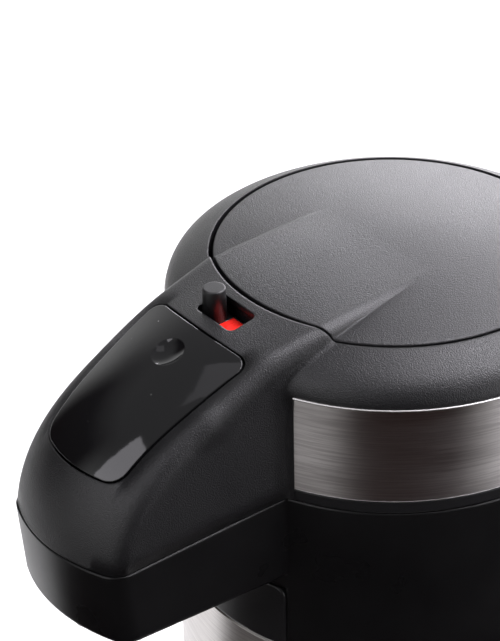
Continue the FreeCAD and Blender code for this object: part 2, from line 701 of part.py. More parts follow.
def make_bellows():
    folds = 4
    rise = (BELLOWS_TOP - BELLOWS_BOTTOM) / (2 * folds)
    radii = [BELLOWS_R - BELLOWS_FOLD if i % 2 == 0 else BELLOWS_R for i in range(2 * folds + 1)]
    outside = [(r, BELLOWS_BOTTOM + i * rise) for i, r in enumerate(radii)]
    inside = [(r - BELLOWS_T, z) for r, z in reversed(outside)]
    return revolved(outside[0], outside[1:] + inside)


def make_pump_base():
    disc = cyl(CUP_R - 2.6, PUMP_BASE, BELLOWS_BOTTOM)
    for i in range(6):
        x, y = polar(9.0, 60 * i)
        disc = disc.cut(cyl(2.0, PUMP_BASE - 1, BELLOWS_BOTTOM + 1, x, y))
    return disc.cut(cyl(1.6, PUMP_BASE - 1, BELLOWS_BOTTOM + 1))


def make_air_valve():
    """Umbrella flap under the pump base: its stem is pulled through the middle hole."""
    return revolved((0, PUMP_BASE - 2.0), [
        [(7, PUMP_BASE - 1.7), (13, PUMP_BASE - 0.2)], (13, PUMP_BASE), (1.6, PUMP_BASE),
        (1.6, BELLOWS_BOTTOM), (2.3, BELLOWS_BOTTOM), (1.2, BELLOWS_BOTTOM + 2.2), (0, BELLOWS_BOTTOM + 2.2)])


def make_mouth_gasket():
    return tube(MOUTH_R + 9, MOUTH_R + 1.5, DECK_TOP + SLIP, CUP_FLOOR)


def make_bellows_cap():
    cap = cyl(BELLOWS_R + 0.5, BELLOWS_TOP, BELLOWS_TOP + CAP_T)
    cap = cap.fuse(cyl(10.0, BELLOWS_TOP, PAD_TOP, 0, PUSH_Y))
    return cap.fuse(tube(SPRING_R + 3.4, SPRING_R + 1.4, BELLOWS_TOP - 3, BELLOWS_TOP + 1))


# Push plate

def plate_ridge():
    """The nose's flat top runs on over the plate and dies out at its middle."""
    rows = [(-8, 4.1, 1.8), (0, 2.8, 2.7), (20, 1.0, 3.0), (42, 0.3, 3.0), (72, 0.14, 3.0)]
    wires = []
    for back, drop, wider in rows:

        def place(x, h, back=back, drop=drop):
            return V(x, back - PLATE_R, PLATE_TOP - drop - 20 + h)

        wires.append(arch(NOSE_HALF + wider, 20.0, CROWN_R, SHOULDER_R + 1, 0.0, place))
    return Part.makeLoft(wires, True, False)


def plate_crown():
    """A round disc with a crowned top and a rounded rim."""
    r = PLATE_ROUND
    middle = PLATE_TOP - CROWN_R
    centre_z = middle + math.sqrt((CROWN_R - r) ** 2 - (PLATE_R - r) ** 2)
    lean = math.atan2(PLATE_R - r, centre_z - middle)
    half = (lean + math.pi / 2) / 2
    on_rim = (PLATE_R - r + r * math.sin(half), centre_z + r * math.cos(half))
    on_top = (CROWN_R * math.sin(lean), middle + CROWN_R * math.cos(lean))
    on_crown = (CROWN_R * math.sin(lean / 2), middle + CROWN_R * math.cos(lean / 2))
    return revolved((0, PLATE_SKIRT), [(PLATE_R, PLATE_SKIRT), (PLATE_R, centre_z), [on_rim, on_top],
                                       [on_crown, (0, PLATE_TOP)]])


def make_push_plate():
    crown_centre = V(0, 0, PLATE_TOP - CROWN_R)
    outside = plate_crown().fuse(plate_ridge().common(cyl(PLATE_R, PLATE_SKIRT, SKY)))
    ceiling = Part.makeSphere(CROWN_R - PLATE_T, crown_centre)
    plate = outside.cut(cyl(PLATE_R - PLATE_T, PLATE_SKIRT - 1, SKY).common(ceiling))
    rib_z = PLATE_SKIRT + 1.5
    pad_z = PAD_TOP + SLIP
    pad = cyl(8.0, pad_z, SKY, 0, PUSH_Y).common(Part.makeSphere(40, V(0, PUSH_Y, pad_z + 40)))
    pad = pad.fuse(cyl(8.0, pad_z + 10, SKY, 0, PUSH_Y))
    x0 = PIVOT_X - 4
    lug = rod_x(4.2, x0, x0 + 7, PIVOT_Y, PIVOT_Z)
    lug = lug.fuse(box(x0, x0 + 7, PIVOT_Y - 4.2, PIVOT_Y + 4.2, PIVOT_Z, SKY))
    extras = [
        box(-1, 1, 1 - PLATE_R, PLATE_R - 1, rib_z, SKY),
        box(1 - PLATE_R, PLATE_R - 1, PUSH_Y - 1, PUSH_Y + 1, rib_z, SKY),
        pad,
        lug,
        mirrored(lug),
    ]
    inside = cyl(PLATE_R - 1, DEEP, SKY).common(ceiling)
    for extra in extras:
        plate = plate.fuse(extra.common(inside))
    plate = plate.cut(rod_x(PIVOT_R + RUN, -PIVOT_X - 5, PIVOT_X + 5, PIVOT_Y, PIVOT_Z))
    return plate.fuse(box(FIN_X, FIN_X + FIN_W, -FIN_REACH, 2 - PLATE_R, PLATE_SKIRT, FIN_TOP))


def make_plate_pins():
    pin = rod_x(PIVOT_R, PIVOT_X - 4.6, PIVOT_X + 5.9, PIVOT_Y, PIVOT_Z)
    return Part.Compound([pin, mirrored(pin)])


# Lock slider

def label_space(x1, z1):
    return box(KNOB_X + KNOB_R + 0.4, x1, SLIDE_Y0 + 0.6, SLIDE_Y1 - 0.6, SLIDE_TOP - LABEL_T, z1)


def make_lock_slide():
    plate = box(SLIDE_X0, SLIDE_X1, SLIDE_Y0, SLIDE_Y1, SLIDE_TOP - SLIDE_T, SLIDE_TOP)
    web = box(TAB_X0, TAB_X1, SLIDE_Y1 - 2.2, SLIDE_Y1, TAB_TOP - TAB_T, SLIDE_TOP - 1)
    tab = box(TAB_X0, TAB_X1, SLIDE_Y1 - 2.2, TAB_TIP, TAB_TOP - TAB_T, TAB_TOP)
    return plate.fuse(web).fuse(tab).cut(label_space(SLIDE_X1 + 5, SLIDE_TOP + 1))


def make_lock_label():
    return label_space(SLIDE_X1, SLIDE_TOP)


def make_lock_knob():
    y = (SLOT_Y0 + SLOT_Y1) / 2
    knob = Part.makeCone(KNOB_R + 0.15, KNOB_R - 0.2, KNOB_RISE, V(KNOB_X, y, SLIDE_TOP))
    top = SLIDE_TOP + KNOB_RISE
    return knob.makeFillet(1.4, edges_where(knob, lambda p, e: p.z > top - 0.1 and e.Length > KNOB_R))


# Collar with the lower half of the nose

def root_gusset():
    """Fills the corner between the nose's side wall and the collar, hollowed by ROOT_FILLET."""
    r = ROOT_FILLET
    ring_r = BODY_R - 0.25
    x = NOSE_HALF + r
    y = -math.sqrt((ring_r + r) ** 2 - x * x)
    share = ring_r / (ring_r + r)
    on_ring = V(x * share, y * share, 0)
    mid = (math.atan2(on_ring.y - y, on_ring.x - x) + math.pi) / 2
    inner = -BODY_R + 17.5
    points = [on_ring, V(on_ring.x, inner, 0), V(NOSE_HALF - 6, inner, 0), V(NOSE_HALF - 6, y, 0),
              V(NOSE_HALF, y, 0)]
    edges = [Part.Arc(points[-1], V(x + r * math.cos(mid), y + r * math.sin(mid), 0), on_ring)]
    for one, other in zip(points, points[1:]):
        edges.append(Part.LineSegment(one, other))
    face = Part.Face(Part.Wire([edge.toShape() for edge in edges]))
    prism = face.extrude(V(0, 0, COLLAR_H - SEAM_GAP / 2 - 11))
    prism.translate(V(0, 0, COLLAR_BOTTOM + 11))
    return prism


def make_collar():
    nose = nose_below(0).common(wide_box(NOSE_Y - 100, -BODY_R + 22.5, DEEP, COLLAR_TOP))
    nose = nose.fuse(root_gusset()).fuse(mirrored(root_gusset()))
    nose = nose.cut(below_floor(0)).removeSplitter().Solids[0]
    floor_edge = edges_where(nose, lambda p, e: p.y < -BODY_R + 8.5 and p.z < FLOOR_Z + 8.4
                             and (abs(p.x) > NOSE_HALF / 2 or p.y < NOSE_Y - 20)
                             and abs(e.tangentAt(e.FirstParameter).z) < 0.3)
    nose = nose.makeFillet(FLOOR_ROUND, floor_edge)
    body = cyl(BODY_R, COLLAR_BOTTOM, COLLAR_TOP).fuse(nose).removeSplitter()
    body = body.cut(cyl(INSIDE_R, DEEP, DECK_TOP - DECK_T)).cut(cyl(INSIDE_R, DECK_TOP, SKY))
    body = body.cut(cyl(NECK_RING_R + SLIP, DEEP, SKY))
    nose_room = nose_below(WALL).common(wide_box(NOSE_Y - 100, -BODY_R + 37.5, DEEP, SKY))
    body = body.cut(nose_room.cut(below_floor(WALL)).cut(cyl(BODY_R, DEEP, SKY)))
    body = body.cut(rod_y(DUCT_R + 1.0, -BODY_R - 7.5, -BODY_R + 12.5, DUCT_Z))
    body = body.cut(cyl(NOZZLE_R + SLIP, NOZZLE_BOTTOM - 4, NOZZLE_BOTTOM + 17, 0, NOZZLE_Y))
    recess = tube(BODY_R + 5, BODY_R + PANEL_PROUD - PANEL_T, DEEP, COLLAR_BOTTOM + PANEL_H + 0.7)
    body = body.cut(recess.common(panel_sides(PANEL_HALF + 0.5)))
    boss = rod_x(HANDLE_BOSS_R, BODY_R - 17.5, HANDLE_IN - SLIP, HANDLE_Y, HANDLE_Z)
    boss = boss.cut(cyl(INSIDE_R, DEEP, SKY))
    bore = rod_x(HANDLE_PIN_R, BODY_R - 27.5, HANDLE_IN + 9.5, HANDLE_Y, HANDLE_Z)
    ear = make_hinge_ear()
    for piece in (boss.cut(bore), ear):
        body = body.fuse(piece).fuse(mirrored(piece))
    return body.cut(bore).cut(mirrored(bore))


def make_hinge_ear():
    x0 = KNUCKLE_HALF + EDGE_GAP
    x1 = x0 + EAR_W
    foot = HINGE_Z - 19.2
    ear = prism_x(x0, x1, [(BODY_R - 1.5, foot), (BODY_R + 1, foot), (HINGE_Y + KNUCKLE_R, HINGE_Z - 3),
                           (HINGE_Y + KNUCKLE_R, HINGE_Z), (HINGE_Y - KNUCKLE_R, HINGE_Z),
                           (BODY_R - 5, COLLAR_TOP), (BODY_R - 5, foot)])
    ear = ear.fuse(rod_x(KNUCKLE_R, x0, x1, HINGE_Y, HINGE_Z))
    ear = ear.cut(rod_x(HINGE_PIN_R, x0 - 1, x1 - 1.5, HINGE_Y, HINGE_Z))
    return ear.cut(cyl(INSIDE_R, DEEP, SKY))


def make_hinge_pin():
    reach = KNUCKLE_HALF + EDGE_GAP + EAR_W - 1.5
    return rod_x(HINGE_PIN_R, -reach, reach, HINGE_Y, HINGE_Z)


def panel_sides(half):
    """The space between two upright planes in front of the body's axis."""
    return box(-half, half, -BODY_R - 12.5, -BODY_R + 27.5, DEEP, SKY)


def make_front_panel():
    r = BODY_R + PANEL_PROUD
    top = COLLAR_BOTTOM + PANEL_H + 0.2
    plate = tube(r, r - PANEL_T, COLLAR_BOTTOM + 0.2, top)
    plate = plate.common(panel_sides(PANEL_HALF))
    corners = edges_where(plate, lambda p, e: p.z > top - 0.1 and e.Length < 2 * PANEL_T)
    plate = plate.makeFillet(5.0, corners)
    rim = edges_where(plate, lambda p, e: abs(math.hypot(p.x, p.y) - r) < 0.05)
    return plate.makeFillet(0.8, rim)


# Mouth and water way

def make_neck_ring():
    ring = cyl(NECK_RING_R, LIP_Z + GASKET_T, DECK_TOP)
    ring = ring.fuse(tube(NECK_RING_R, CAN_NECK_R + 0.5, NECK_FOOT + 10, LIP_Z + 3))
    ring = ring.fuse(tube(NECK_RING_R + 3.5, CUP_R + 1.1, DECK_TOP, DECK_TOP + 1.2))
    ring = ring.cut(cyl(MOUTH_R, DEEP, SKY))
    ring = ring.cut(cyl(TUBE_R, DEEP, DUCT_Z, 0, TUBE_Y))
    ring = ring.cut(rod_y(DUCT_R, -NECK_R - 20, -NECK_R, DUCT_Z))
    return ring.cut(rod_y(TUBE_BORE, -NECK_R, TUBE_Y, DUCT_Z))


def make_neck_gasket():
    return tube(CAN_NECK_R, NECK_R - STEEL, LIP_Z, LIP_Z + GASKET_T)


def make_dip_tube():
    pipe = tube(TUBE_R, TUBE_BORE, TUBE_BOTTOM, DUCT_Z - TUBE_BORE, 0, TUBE_Y)
    notch = box(-10, 10, TUBE_Y - 10, TUBE_Y, TUBE_BOTTOM - 1, TUBE_BOTTOM + 4)
    return pipe.cut(notch)


def duct_path(r):
    start = V(0, -NECK_R, DUCT_Z)
    corner_y = NOZZLE_Y + DUCT_BEND
    c = DUCT_BEND * math.sqrt(0.5)
    bend_start = V(0, corner_y, DUCT_Z)
    bend_mid = V(0, corner_y - c, DUCT_Z - DUCT_BEND + c)
    bend_end = V(0, NOZZLE_Y, DUCT_Z - DUCT_BEND)
    path = Part.Wire([
        Part.LineSegment(start, bend_start).toShape(),
        Part.Arc(bend_start, bend_mid, bend_end).toShape(),
        Part.LineSegment(bend_end, V(0, NOZZLE_Y, NOZZLE_BOTTOM + 6.5)).toShape()])
    section = Part.Wire(Part.makeCircle(r, start, V(0, 1, 0)))
    return path.makePipeShell([section], True, False)


def make_outlet_duct():
    return duct_path(DUCT_R).cut(duct_path(DUCT_BORE))


def make_nozzle():
    seat = NOZZLE_BOTTOM + 6.5
    flange_z = floor_at(NOZZLE_Y - NOZZLE_FLANGE_R) + WALL + 0.38
    top = flange_z + 1.8
    body = cyl(NOZZLE_R, NOZZLE_BOTTOM, flange_z + 1, 0, NOZZLE_Y)
    body = body.fuse(cyl(NOZZLE_FLANGE_R, flange_z, top, 0, NOZZLE_Y))
    body = body.cut(cyl(DUCT_R, seat, top + 1, 0, NOZZLE_Y))
    body = body.cut(cyl(DUCT_BORE, NOZZLE_BOTTOM - 1, top + 1, 0, NOZZLE_Y))
    return body.cut(Part.makeCone(DUCT_BORE + 2, DUCT_BORE, 3, V(0, NOZZLE_Y, NOZZLE_BOTTOM)))


def make_tip_ball():
    return Part.makeSphere(TIP_BALL_R, V(0, -NECK_RING_R - 9.5, DUCT_Z - DUCT_BORE + TIP_BALL_R + 0.02))


# Bottom and turntable

def bracket_places():
    return [polar(BRACKET_R, 30 + 120 * i) for i in range(3)]


def make_bottom_cover():
    hub_top = COVER_BOTTOM + 9.5
    cover = revolved((BASE_PIN_R, COVER_BOTTOM), [
        (BODY_R - 3, COVER_BOTTOM), [(BODY_R - 0.9, COVER_BOTTOM + 0.9), (BODY_R, COVER_BOTTOM + 3)],
        (BODY_R, CAN_BOTTOM - SLIP), (INSIDE_R, CAN_BOTTOM - SLIP), (INSIDE_R, COVER_BOTTOM + WALL),
        (BASE_PIN_R + 6, COVER_BOTTOM + WALL), (BASE_PIN_R + 6, hub_top), (BASE_PIN_R, hub_top)])
    for x, y in bracket_places():
        cover = cover.cut(cyl(SCREW_R + RUN, 0, CAN_BOTTOM, x, y))
        cover = cover.cut(cyl(SCREW_HEAD_R + 0.2, 0, COVER_BOTTOM + 1.2, x, y))
    return cover


def make_can_bracket():
    bracket = tube(BRACKET_R + 8, BRACKET_R - 10, CAN_BOTTOM + 1.4, CAN_BOTTOM + 3)
    for x, y in bracket_places():
        bracket = bracket.fuse(cyl(4.5, COVER_BOTTOM + WALL, CAN_BOTTOM + 2, x, y))
        bracket = bracket.cut(cyl(SCREW_R + 0.02, 0, CAN_BOTTOM + 1, x, y))
    return bracket


def make_bottom_screws():
    return Part.Compound([screw(x, y, COVER_BOTTOM + 0.1, CAN_BOTTOM - 2, 1.1) for x, y in bracket_places()])


def make_cushion():
    return tube(CUSHION_R, CUSHION_R - CUSHION_W, COVER_BOTTOM + WALL, CAN_BOTTOM + 3)


def make_turntable():
    """A dish with a hub for the pivot, a raised ring for the glides and an upturned rim."""
    floor = FOOT_H + 2.6
    ring_r = BASE_R - 10
    rim_r = BASE_R - 3.4
    return revolved((BASE_PIN_R + RUN, FOOT_H + 2), [
        (SCREW_WELL_R, FOOT_H + 2), (SCREW_WELL_R, FOOT_H), (BASE_R - 2, FOOT_H), (BASE_R, FOOT_H + 2),
        (BASE_R, BASE_TOP - 1), (BASE_R - 1, BASE_TOP), (rim_r, BASE_TOP), (rim_r, floor), (ring_r, floor),
        (ring_r, BASE_TOP - 1), (ring_r - 6, BASE_TOP - 1), (ring_r - 6, floor),
        (SCREW_WELL_R + 1, floor), (SCREW_WELL_R + 1, BASE_TOP), (BASE_PIN_R + RUN, BASE_TOP)])


def make_feet():
    """Six rubber feet, and a seventh in the middle that covers the pivot screw."""
    feet = [cyl(6, 0, FOOT_H, *polar(BASE_R - 12, 60 * i)) for i in range(6)]
    return Part.Compound(feet + [cyl(SCREW_WELL_R + 3, 0, FOOT_H)])


def make_glides():
    glides = []
    for i in range(6):
        x, y = polar(BASE_R - 13, 60 * i + 30)
        dome_top = Part.makeSphere(8, V(x, y, COVER_BOTTOM - SLIP - 8))
        glides.append(cyl(2.6, BASE_TOP - 1, COVER_BOTTOM, x, y).common(dome_top))
    return Part.Compound(glides)


def make_pivot_screw():
    body = cyl(BASE_PIN_R, FOOT_H + 1.8, COVER_BOTTOM + 8.5)
    body = body.fuse(cyl(2 * BASE_PIN_R, FOOT_H + 0.2, FOOT_H + 1.8))
    return body.cut(box(-5, 5, -0.8, 0.8, 0, FOOT_H + 1.0)).cut(box(-0.8, 0.8, -5, 5, 0, FOOT_H + 1.0))


def make_pivot_washer():
    return tube(SCREW_WELL_R - 1, BASE_PIN_R, BASE_TOP + 0.2, COVER_BOTTOM)


# Carrying handle

def bail_outline(offset):
    """A solid U with rounded corners, that much outside the bail's middle line."""
    w = ARM_MID + offset
    top = HANDLE_LENGTH + offset
    r = HANDLE_CORNER + offset
    c = r * (1 - math.sqrt(0.5))
    edges = [
        Part.LineSegment(V(-w, 0, 0), V(-w, top - r, 0)),
        Part.Arc(V(-w, top - r, 0), V(c - w, top - c, 0), V(r - w, top, 0)),
        Part.LineSegment(V(r - w, top, 0), V(w - r, top, 0)),
        Part.Arc(V(w - r, top, 0), V(w - c, top - c, 0), V(w, top - r, 0)),
        Part.LineSegment(V(w, top - r, 0), V(w, 0, 0)),
        Part.LineSegment(V(w, 0, 0), V(-w, 0, 0)),
    ]
    face = Part.Face(Part.Wire([edge.toShape() for edge in edges]))
    solid = face.extrude(V(0, 0, ARM_W))
    solid.translate(V(0, 0, -ARM_W / 2))
    return solid


def stowed(shape):
    shape.rotate(V(0, 0, 0), V(1, 0, 0), -HANDLE_STOW)
    shape.translate(V(0, HANDLE_Y, HANDLE_Z))
    return shape


def make_handle_bail():
    bail = bail_outline(ARM_T / 2).cut(bail_outline(-ARM_T / 2))
    eye = rod_x(EYE_R, HANDLE_IN, HANDLE_IN + ARM_T, 0, 0)
    bail = bail.fuse(eye).fuse(mirrored(eye)).removeSplitter()
    bail = bail.cut(rod_x(HANDLE_PIN_R + RUN, -HANDLE_IN - 20, HANDLE_IN + 20, 0, 0))
    rim = edges_where(bail, lambda p, e: abs(abs(p.z) - ARM_W / 2) < 0.01 and p.y > EYE_R + 2)
    return stowed(bail.makeFillet(1.6, rim))


def make_handle_grip():
    mid = HANDLE_LENGTH
    grip = box(-GRIP_HALF, GRIP_HALF, mid - GRIP_R, mid + GRIP_R, -GRIP_W / 2, GRIP_W / 2)
    grip = grip.makeFillet(5.0, edges_where(grip, lambda p, e: e.Length > GRIP_HALF))
    ends = edges_where(grip, lambda p, e: abs(abs(p.x) - GRIP_HALF) < 0.01)
    grip = grip.makeFillet(1.5, ends)
    bar = box(-GRIP_HALF - 17, GRIP_HALF + 17, mid - ARM_T / 2, mid + ARM_T / 2, -ARM_W / 2, ARM_W / 2)
    return stowed(grip.cut(bar))


def make_handle_pins():
    reach = HANDLE_IN + ARM_T
    pin = rod_x(HANDLE_PIN_R, INSIDE_R, reach + SLIP, HANDLE_Y, HANDLE_Z)
    pin = pin.fuse(rod_x(HANDLE_PIN_HEAD, reach + SLIP, reach + 2.0, HANDLE_Y, HANDLE_Z))
    return Part.Compound([pin, mirrored(pin)])


# Base
save("turntable", make_turntable())
save("feet", make_feet())
save("glides", make_glides())

# Pot
save("can", make_can())
save("vessel", make_vessel())
save("bottom_cover", make_bottom_cover())
save("can_bracket", make_can_bracket())
save("bottom_screws", make_bottom_screws())
save("cushion", make_cushion())
save("pivot_screw", make_pivot_screw())
save("pivot_washer", make_pivot_washer())
save("collar", make_collar())
save("front_panel", make_front_panel())
save("neck_ring", make_neck_ring())
save("neck_gasket", make_neck_gasket())
save("dip_tube", make_dip_tube())
save("outlet_duct", make_outlet_duct())
save("nozzle", make_nozzle())
save("tip_ball", make_tip_ball())
save("latch_catch", make_latch_catch())
save("hinge_pin", make_hinge_pin())
save("handle_pins", make_handle_pins())
save("handle_bail", make_handle_bail())
save("handle_grip", make_handle_grip())

# Lid
save("lid_shell", make_lid_shell())
save("steel_band", make_band())
save("lid_underside", make_lid_underside())
save("lid_screws", make_lid_screws())
save("mouth_gasket", make_mouth_gasket())
save("pump_base", make_pump_base())
save("air_valve", make_air_valve())
save("bellows", make_bellows())
save("bellows_cap", make_bellows_cap())
save("return_spring", helix(SPRING_R, SPRING_WIRE, BELLOWS_BOTTOM, BELLOWS_TOP, 5))
save("push_plate", make_push_plate())
save("plate_pins", make_plate_pins())
save("lock_slide", make_lock_slide())
save("lock_label", make_lock_label())
save("lock_knob", make_lock_knob())
save("release_lever", make_release_lever())
save("lever_hook", make_lever_hook())
save("lever_pin", make_lever_pin())
save("lever_spring", make_lever_spring())
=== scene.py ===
import bmesh
import bpy
import math
from mathutils import Matrix, Vector


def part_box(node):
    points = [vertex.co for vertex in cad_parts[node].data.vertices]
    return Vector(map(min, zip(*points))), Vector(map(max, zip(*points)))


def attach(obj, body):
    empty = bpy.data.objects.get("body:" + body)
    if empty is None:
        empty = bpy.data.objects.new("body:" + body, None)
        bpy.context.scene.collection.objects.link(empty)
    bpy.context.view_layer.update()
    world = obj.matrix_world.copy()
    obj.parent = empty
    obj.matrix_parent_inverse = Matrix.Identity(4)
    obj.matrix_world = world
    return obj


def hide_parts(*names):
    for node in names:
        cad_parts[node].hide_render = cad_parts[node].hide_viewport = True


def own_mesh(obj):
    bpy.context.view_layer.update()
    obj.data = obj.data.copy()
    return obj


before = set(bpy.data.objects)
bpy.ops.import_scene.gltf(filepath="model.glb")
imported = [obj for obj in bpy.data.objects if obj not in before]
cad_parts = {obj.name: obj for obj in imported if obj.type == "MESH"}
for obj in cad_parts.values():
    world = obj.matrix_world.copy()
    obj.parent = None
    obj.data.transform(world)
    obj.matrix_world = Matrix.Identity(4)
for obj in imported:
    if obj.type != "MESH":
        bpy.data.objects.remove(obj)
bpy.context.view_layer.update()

# Camera and framing. Azimuths are in degrees from the front (-Y) towards the right (+X).

AZIMUTH = math.radians(49.0)
ELEVATION = math.radians(30.985)
ROLL = math.radians(0.6406)
DISTANCE = 0.980
TARGET = Vector((0, 0, 0.345))
FOCAL_PX = 2515.6
CENTRE_PX = (392.6, 246.43)
FRAME_PX = (500.0, 641.0)


def make_camera():
    back = Vector((math.sin(AZIMUTH) * math.cos(ELEVATION), -math.cos(AZIMUTH) * math.cos(ELEVATION),
                   math.sin(ELEVATION)))
    right = Vector((math.cos(AZIMUTH), math.sin(AZIMUTH), 0))
    up = back.cross(right)
    right, up = (math.cos(ROLL) * right + math.sin(ROLL) * up, -math.sin(ROLL) * right + math.cos(ROLL) * up)
    data = bpy.data.cameras.new("camera")
    data.sensor_fit = "AUTO"
    data.sensor_width = 36.0
    data.lens = FOCAL_PX / FRAME_PX[1] * 36.0
    data.shift_x = -(CENTRE_PX[0] - FRAME_PX[0] / 2) / FRAME_PX[1]
    data.shift_y = (CENTRE_PX[1] - FRAME_PX[1] / 2) / FRAME_PX[1]
    data.clip_start = 0.05
    data.clip_end = 50
    camera = bpy.data.objects.new("camera", data)
    bpy.context.scene.collection.objects.link(camera)
    turn = Matrix((right, up, back)).transposed().to_4x4()
    camera.matrix_world = Matrix.Translation(TARGET + back * DISTANCE) @ turn
    bpy.context.scene.camera = camera


# Node graph helpers

def material(name):
    mat = bpy.data.materials.new(name)
    mat.use_nodes = True
    tree = mat.node_tree
    tree.nodes.clear()
    out = tree.nodes.new("ShaderNodeOutputMaterial")
    shader = tree.nodes.new("ShaderNodeBsdfPrincipled")
    tree.links.new(shader.outputs[0], out.inputs[0])
    return mat, tree, shader


def add(tree, kind, inputs=None, **settings):
    """Adds a shader node. An input is a number or colour, or the socket that feeds it."""
    node = tree.nodes.new(kind)
    for key, value in settings.items():
        setattr(node, key, value)
    for key, value in (inputs or {}).items():
        if isinstance(value, bpy.types.NodeSocket):
            tree.links.new(value, node.inputs[key])
        else:
            node.inputs[key].default_value = value
    return node


def place(tree, stretch=(1, 1, 1)):
    """Object coordinates in metres, multiplied along each axis."""
    where = add(tree, "ShaderNodeTexCoord").outputs["Object"]
    return add(tree, "ShaderNodeVectorMath", {0: where, 1: stretch}, operation="MULTIPLY").outputs[0]


def noise(tree, where, scale, detail=2.0, roughness=0.5):
    inputs = {"Vector": where, "Scale": scale, "Detail": detail, "Roughness": roughness}
    return add(tree, "ShaderNodeTexNoise", inputs).outputs[0]


def math_node(tree, operation, a, b=0.0):
    return add(tree, "ShaderNodeMath", {0: a, 1: b}, operation=operation).outputs[0]


def spread(tree, value, low, high, start=0.3, end=0.7, smooth=False):
    """Maps a value from start..end to low..high."""
    inputs = {"Value": value, "From Min": start, "From Max": end, "To Min": low, "To Max": high}
    kind = "SMOOTHSTEP" if smooth else "LINEAR"
    return add(tree, "ShaderNodeMapRange", inputs, interpolation_type=kind).outputs[0]


def tint(tree, factor, first, second):
    inputs = {0: factor, 6: (*first, 1), 7: (*second, 1)}
    return add(tree, "ShaderNodeMix", inputs, data_type="RGBA").outputs[2]


def rounded(tree, radius, samples=6):
    """A normal that shows sharp edges as rounded by this radius."""
    return add(tree, "ShaderNodeBevel", {"Radius": radius}, samples=samples).outputs[0]


SHOULDER_X = (0.0215, 0.0245)
SHOULDER_Y = (-0.088, -0.076)


def rounded_shoulders(tree, radius, broad):
    """As rounded, with the broad radius on the nose's two long shoulders, outside the lever's opening."""
    split = add(tree, "ShaderNodeSeparateXYZ", {0: place(tree)}).outputs
    beside = spread(tree, math_node(tree, "ABSOLUTE", split[0]), 0, 1, *SHOULDER_X, True)
    ahead = spread(tree, split[1], 1, 0, *SHOULDER_Y, True)
    factor = math_node(tree, "MULTIPLY", beside, ahead)
    inputs = {0: factor, 4: rounded(tree, radius), 5: rounded(tree, broad, 12)}
    return add(tree, "ShaderNodeMix", inputs, data_type="VECTOR").outputs[1]


def bump(tree, height, distance, normal):
    inputs = {"Height": height, "Distance": distance, "Strength": 1.0, "Normal": normal}
    return add(tree, "ShaderNodeBump", inputs).outputs[0]


def feed(tree, shader, **sockets):
    for key, value in sockets.items():
        socket = shader.inputs[key.replace("_", " ")]
        if isinstance(value, bpy.types.NodeSocket):
            tree.links.new(value, socket)
        else:
            socket.default_value = value


def assign(mat, *nodes):
    for name in nodes:
        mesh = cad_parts[name].data
        if not mesh.materials:
            mesh.materials.append(mat)
        for i in range(len(mesh.materials)):
            mesh.materials[i] = mat


# Materials

def moulded(name, dark, light, gloss, grain, relief, edge=0.0005, level=0.5, shoulders=None):
    """Moulded plastic with a fine spark-eroded grain, slight flow marks and rounded edges."""
    mat, tree, shader = material(name)
    where = place(tree)
    flow = noise(tree, where, 30, 3)
    fine = noise(tree, where, 1 / grain, 2, 0.6)
    height = math_node(tree, "ADD", fine, math_node(tree, "MULTIPLY", flow, 0.5))
    normal = rounded_shoulders(tree, edge, shoulders) if shoulders else rounded(tree, edge)
    feed(tree, shader, Base_Color=tint(tree, spread(tree, flow, 0, 1), dark, light),
         Roughness=spread(tree, flow, gloss - 0.03, gloss + 0.03),
         Normal=bump(tree, height, relief, normal))
    shader.inputs["Specular IOR Level"].default_value = level
    return mat


def two_tone(name, inner, outer, radius, gloss):
    """Moulded plastic in one colour out to a radius from the vertical axis, and in another beyond it."""
    mat = moulded(name, inner, inner, gloss, 0.0005, 0.00004, 0.0008)
    tree = mat.node_tree
    shader = next(node for node in tree.nodes if node.type == "BSDF_PRINCIPLED")
    reach = add(tree, "ShaderNodeVectorMath", {0: place(tree, (1, 1, 0))}, operation="LENGTH").outputs["Value"]
    tree.links.new(tint(tree, math_node(tree, "GREATER_THAN", reach, radius), inner, outer),
                   shader.inputs["Base Color"])
    return mat


DUST = (0.45, 0.45, 0.44)
DUST_PER_METRE = 420.0


def polished(name, colour, gloss, dust):
    """Glossy plastic with a faint unevenness and a few specks of dust."""
    mat, tree, shader = material(name)
    where = place(tree)
    waves = noise(tree, where, 90, 2)
    specks = add(tree, "ShaderNodeTexVoronoi", {"Vector": where, "Scale": DUST_PER_METRE}).outputs["Distance"]
    patches = noise(tree, where, 260, 2)
    size = spread(tree, patches, 0.0, 0.13, 0.60, 0.75)
    speck = math_node(tree, "MULTIPLY", math_node(tree, "LESS_THAN", specks, size), dust)
    feed(tree, shader, Base_Color=tint(tree, speck, colour, DUST),
         Roughness=math_node(tree, "ADD", spread(tree, waves, gloss, gloss + 0.03),
                             math_node(tree, "MULTIPLY", speck, 0.5)),
         Normal=bump(tree, waves, 0.00002, rounded(tree, 0.0006)))
    return mat


STREAKS_PER_METRE = 32
ACROSS_THE_BRUSHING = 0.25


def brushed(name, dark, light, gloss, streak, anisotropy):
    """Metal brushed round the vertical axis: long fine streaks, and highlights drawn out across them."""
    mat, tree, shader = material(name)
    streaks = noise(tree, place(tree, (STREAKS_PER_METRE, STREAKS_PER_METRE, 1 / streak)), 1.0, 3, 0.7)
    clouds = noise(tree, place(tree, (1, 1, 4)), 18, 2)
    axis = add(tree, "ShaderNodeTangent", direction_type="RADIAL", axis="Z").outputs[0]
    lines = spread(tree, streaks, 0, 1, 0.38, 0.62, True)
    feed(tree, shader, Base_Color=tint(tree, lines, dark, light), Metallic=1.0,
         Roughness=math_node(tree, "ADD", spread(tree, lines, gloss - 0.015, gloss + 0.015, 0, 1),
                             spread(tree, clouds, -0.02, 0.02)),
         Normal=rounded(tree, 0.0003), Anisotropic=anisotropy, Anisotropic_Rotation=ACROSS_THE_BRUSHING,
         Tangent=axis)
    return mat


